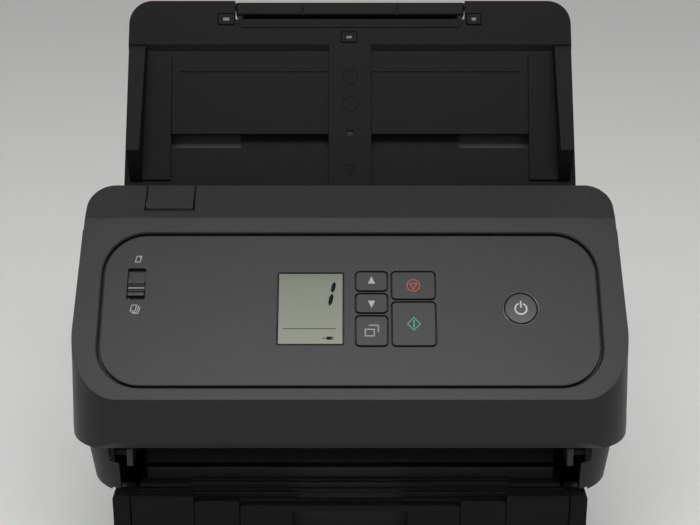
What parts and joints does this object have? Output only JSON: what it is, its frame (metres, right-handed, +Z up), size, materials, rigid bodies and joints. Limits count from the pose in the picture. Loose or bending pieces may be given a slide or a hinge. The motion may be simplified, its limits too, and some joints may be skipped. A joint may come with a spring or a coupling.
{
  "type": "document scanner",
  "caption": "Sheet-fed desktop document scanner: a tilting front unit with a sloped control panel, an upright feed tray with paper guides and a folding eject tray.",
  "frame": {"origin": "centre of the footprint, on the surface the scanner stands on", "axes": "+X to the right seen from the front, +Y to the back, +Z up"},
  "size_m": [0.288, 0.22, 0.294],
  "materials": {
    "shell": "fine textured moulding",
    "panel": "satin",
    "tray": "fine textured moulding",
    "key": "satin",
    "lens": "gloss",
    "board": "satin",
    "steel": "satin",
    "inner": "satin",
    "rubber": "matte",
    "roller": "matte",
    "gear": "satin",
    "scan_glass": "clear",
    "connector": "satin"
  },
  "bodies": {
    "main_unit": {"base_tray": "shell", "rubber_feet": "rubber", "right_side_cover": "shell", "left_side_cover": "shell", "rear_cover": "shell", "right_frame": "steel", "left_frame": "steel", "shaft_bushes": "gear", "fixed_pins": "steel", "frame_screws": "steel", "rear_paper_guide": "inner", "exit_floor": "inner", "rear_image_sensor": "inner", "rear_scan_glass": "scan_glass", "drive_motor": "steel", "drive_belt": "rubber", "main_board": "board", "rear_sockets": "connector"},
    "drive_roller": {"drive_shaft": "steel", "drive_tyres": "roller", "drive_gear": "gear"},
    "feed_roller": {"feed_shaft": "steel", "feed_tyre": "roller", "feed_gear": "gear"},
    "eject_roller": {"eject_shaft": "steel", "eject_tyres": "roller", "eject_gear": "gear"},
    "feed_idler": {"feed_idler": "gear"},
    "eject_idler": {"eject_idler": "gear"},
    "motor_pulley": {"motor_pulley": "steel"},
    "front_unit": {"front_cover": "shell", "control_panel": "panel", "lcd_window": "lens", "panel_board": "board", "panel_screws": "steel", "front_chassis": "inner", "front_paper_guide": "inner", "front_image_sensor": "inner", "front_scan_glass": "scan_glass"},
    "power_button": {"power_button": "key"},
    "feed_selector": {"feed_selector": "inner"},
    "open_lever": {"open_lever": "shell", "latch_shaft": "steel"},
    "separation_roller": {"separation_roller": "roller"},
    "drive_followers": {"drive_followers": "gear"},
    "eject_followers": {"eject_followers": "gear"},
    "feed_tray": {"feed_tray": "tray", "tray_back_cover": "tray"},
    "right_guide": {"right_guide": "tray"},
    "left_guide": {"left_guide": "tray"},
    "guide_pinion": {"guide_pinion": "gear"},
    "feed_extension": {"feed_extension": "tray"},
    "eject_tray": {"eject_tray": "tray"},
    "eject_extension": {"eject_extension": "tray"},
    "eject_sub_extension": {"eject_sub_extension": "tray"},
    "up_key": {"up_key": "key"},
    "down_key": {"down_key": "key"},
    "release_key": {"release_key": "key"},
    "stop_key": {"stop_key": "key"},
    "start_key": {"start_key": "key"}
  },
  "joints": [
    {"name": "front_unit_hinge", "type": "hinge", "parent": "main_unit", "child": "front_unit", "pos_m": [0, -0.096, 0.086], "axis": [1, 0, 0], "range_deg": [0, 60]},
    {"name": "feed_tray_fold", "type": "hinge", "parent": "main_unit", "child": "feed_tray", "pos_m": [0, 0.009, 0.19], "axis": [1, 0, 0], "range_deg": [0, 30]},
    {"name": "eject_tray_hinge", "type": "hinge", "parent": "main_unit", "child": "eject_tray", "pos_m": [0, -0.093, 0.009], "axis": [1, 0, 0], "range_deg": [0, 85]},
    {"name": "eject_extension_slide", "type": "slide", "parent": "eject_tray", "child": "eject_extension", "axis": [0, 0, 1], "range_m": [0, 0.034]},
    {"name": "eject_sub_extension_slide", "type": "slide", "parent": "eject_extension", "child": "eject_sub_extension", "axis": [0, 0, 1], "range_m": [0, 0.028]},
    {"name": "right_guide_slide", "type": "slide", "parent": "feed_tray", "child": "right_guide", "axis": [-1, 0, 0], "range_m": [0, 0.085]},
    {"name": "left_guide_slide", "type": "slide", "parent": "feed_tray", "child": "left_guide", "axis": [1, 0, 0], "range_m": [0, 0.085]},
    {"name": "guide_pinion_spin", "type": "hinge", "parent": "feed_tray", "child": "guide_pinion", "pos_m": [0, 0.01092, 0.22199], "axis": [0, -0.9063, 0.4226], "range_deg": [0, 812.2]},
    {"name": "feed_extension_slide", "type": "slide", "parent": "feed_tray", "child": "feed_extension", "axis": [0, 0.4226, 0.9063], "range_m": [0, 0.07]},
    {"name": "up_key_press", "type": "slide", "parent": "front_unit", "child": "up_key", "axis": [0, 0.7236, -0.6903], "range_m": [0, 0.0006], "stiffness_N_per_m": 300},
    {"name": "down_key_press", "type": "slide", "parent": "front_unit", "child": "down_key", "axis": [0, 0.7236, -0.6903], "range_m": [0, 0.0006], "stiffness_N_per_m": 300},
    {"name": "release_key_press", "type": "slide", "parent": "front_unit", "child": "release_key", "axis": [0, 0.7236, -0.6903], "range_m": [0, 0.0006], "stiffness_N_per_m": 300},
    {"name": "stop_key_press", "type": "slide", "parent": "front_unit", "child": "stop_key", "axis": [0, 0.7236, -0.6903], "range_m": [0, 0.0006], "stiffness_N_per_m": 300},
    {"name": "start_key_press", "type": "slide", "parent": "front_unit", "child": "start_key", "axis": [0, 0.7236, -0.6903], "range_m": [0, 0.0006], "stiffness_N_per_m": 300},
    {"name": "power_button_press", "type": "slide", "parent": "front_unit", "child": "power_button", "axis": [0, 0.7236, -0.6903], "range_m": [0, 0.0006], "stiffness_N_per_m": 300},
    {"name": "feed_selector_slide", "type": "slide", "parent": "front_unit", "child": "feed_selector", "axis": [0, 0.6903, 0.7236], "range_m": [0, 0.005]},
    {"name": "open_lever_hinge", "type": "hinge", "parent": "front_unit", "child": "open_lever", "pos_m": [0, -0.026, 0.19], "axis": [-1, 0, 0], "range_deg": [0, 18], "stiffness_Nm_per_rad": 0.3},
    {"name": "drive_spin", "type": "hinge", "parent": "main_unit", "child": "drive_roller", "pos_m": [0, -0.03745, 0.11286], "axis": [1, 0, 0], "continuous": true},
    {"name": "feed_spin", "type": "hinge", "parent": "main_unit", "child": "feed_roller", "pos_m": [0, -0.01915, 0.1322], "axis": [1, 0, 0], "continuous": true},
    {"name": "eject_spin", "type": "hinge", "parent": "main_unit", "child": "eject_roller", "pos_m": [0, -0.057, 0.08426], "axis": [1, 0, 0], "continuous": true},
    {"name": "feed_idler_spin", "type": "hinge", "parent": "main_unit", "child": "feed_idler", "pos_m": [0, -0.02063, 0.11526], "axis": [1, 0, 0], "continuous": true},
    {"name": "eject_idler_spin", "type": "hinge", "parent": "main_unit", "child": "eject_idler", "pos_m": [0, -0.04078, 0.09415], "axis": [1, 0, 0], "continuous": true},
    {"name": "motor_pulley_spin", "type": "hinge", "parent": "main_unit", "child": "motor_pulley", "pos_m": [0, 0.008, 0.084], "axis": [1, 0, 0], "continuous": true},
    {"name": "separation_spin", "type": "hinge", "parent": "front_unit", "child": "separation_roller", "pos_m": [0, -0.03962, 0.14585], "axis": [1, 0, 0], "continuous": true},
    {"name": "drive_follower_spin", "type": "hinge", "parent": "front_unit", "child": "drive_followers", "pos_m": [0, -0.05043, 0.12151], "axis": [1, 0, 0], "continuous": true},
    {"name": "eject_follower_spin", "type": "hinge", "parent": "front_unit", "child": "eject_followers", "pos_m": [0, -0.06986, 0.0931], "axis": [1, 0, 0], "continuous": true}
  ],
  "couplings": [
    {"joint": "feed_spin", "follows": "drive_spin", "ratio": 1},
    {"joint": "eject_spin", "follows": "drive_spin", "ratio": 1},
    {"joint": "feed_idler_spin", "follows": "drive_spin", "ratio": -1.4286},
    {"joint": "eject_idler_spin", "follows": "drive_spin", "ratio": -1.1111},
    {"joint": "motor_pulley_spin", "follows": "drive_spin", "ratio": 1.6364},
    {"joint": "left_guide_slide", "follows": "right_guide_slide", "ratio": 1},
    {"joint": "guide_pinion_spin", "follows": "right_guide_slide", "rad_per_m": 166.67},
    {"joint": "eject_extension_slide", "follows": "eject_tray_hinge", "m_per_rad": 0.022918},
    {"joint": "eject_sub_extension_slide", "follows": "eject_tray_hinge", "m_per_rad": 0.018873}
  ]
}
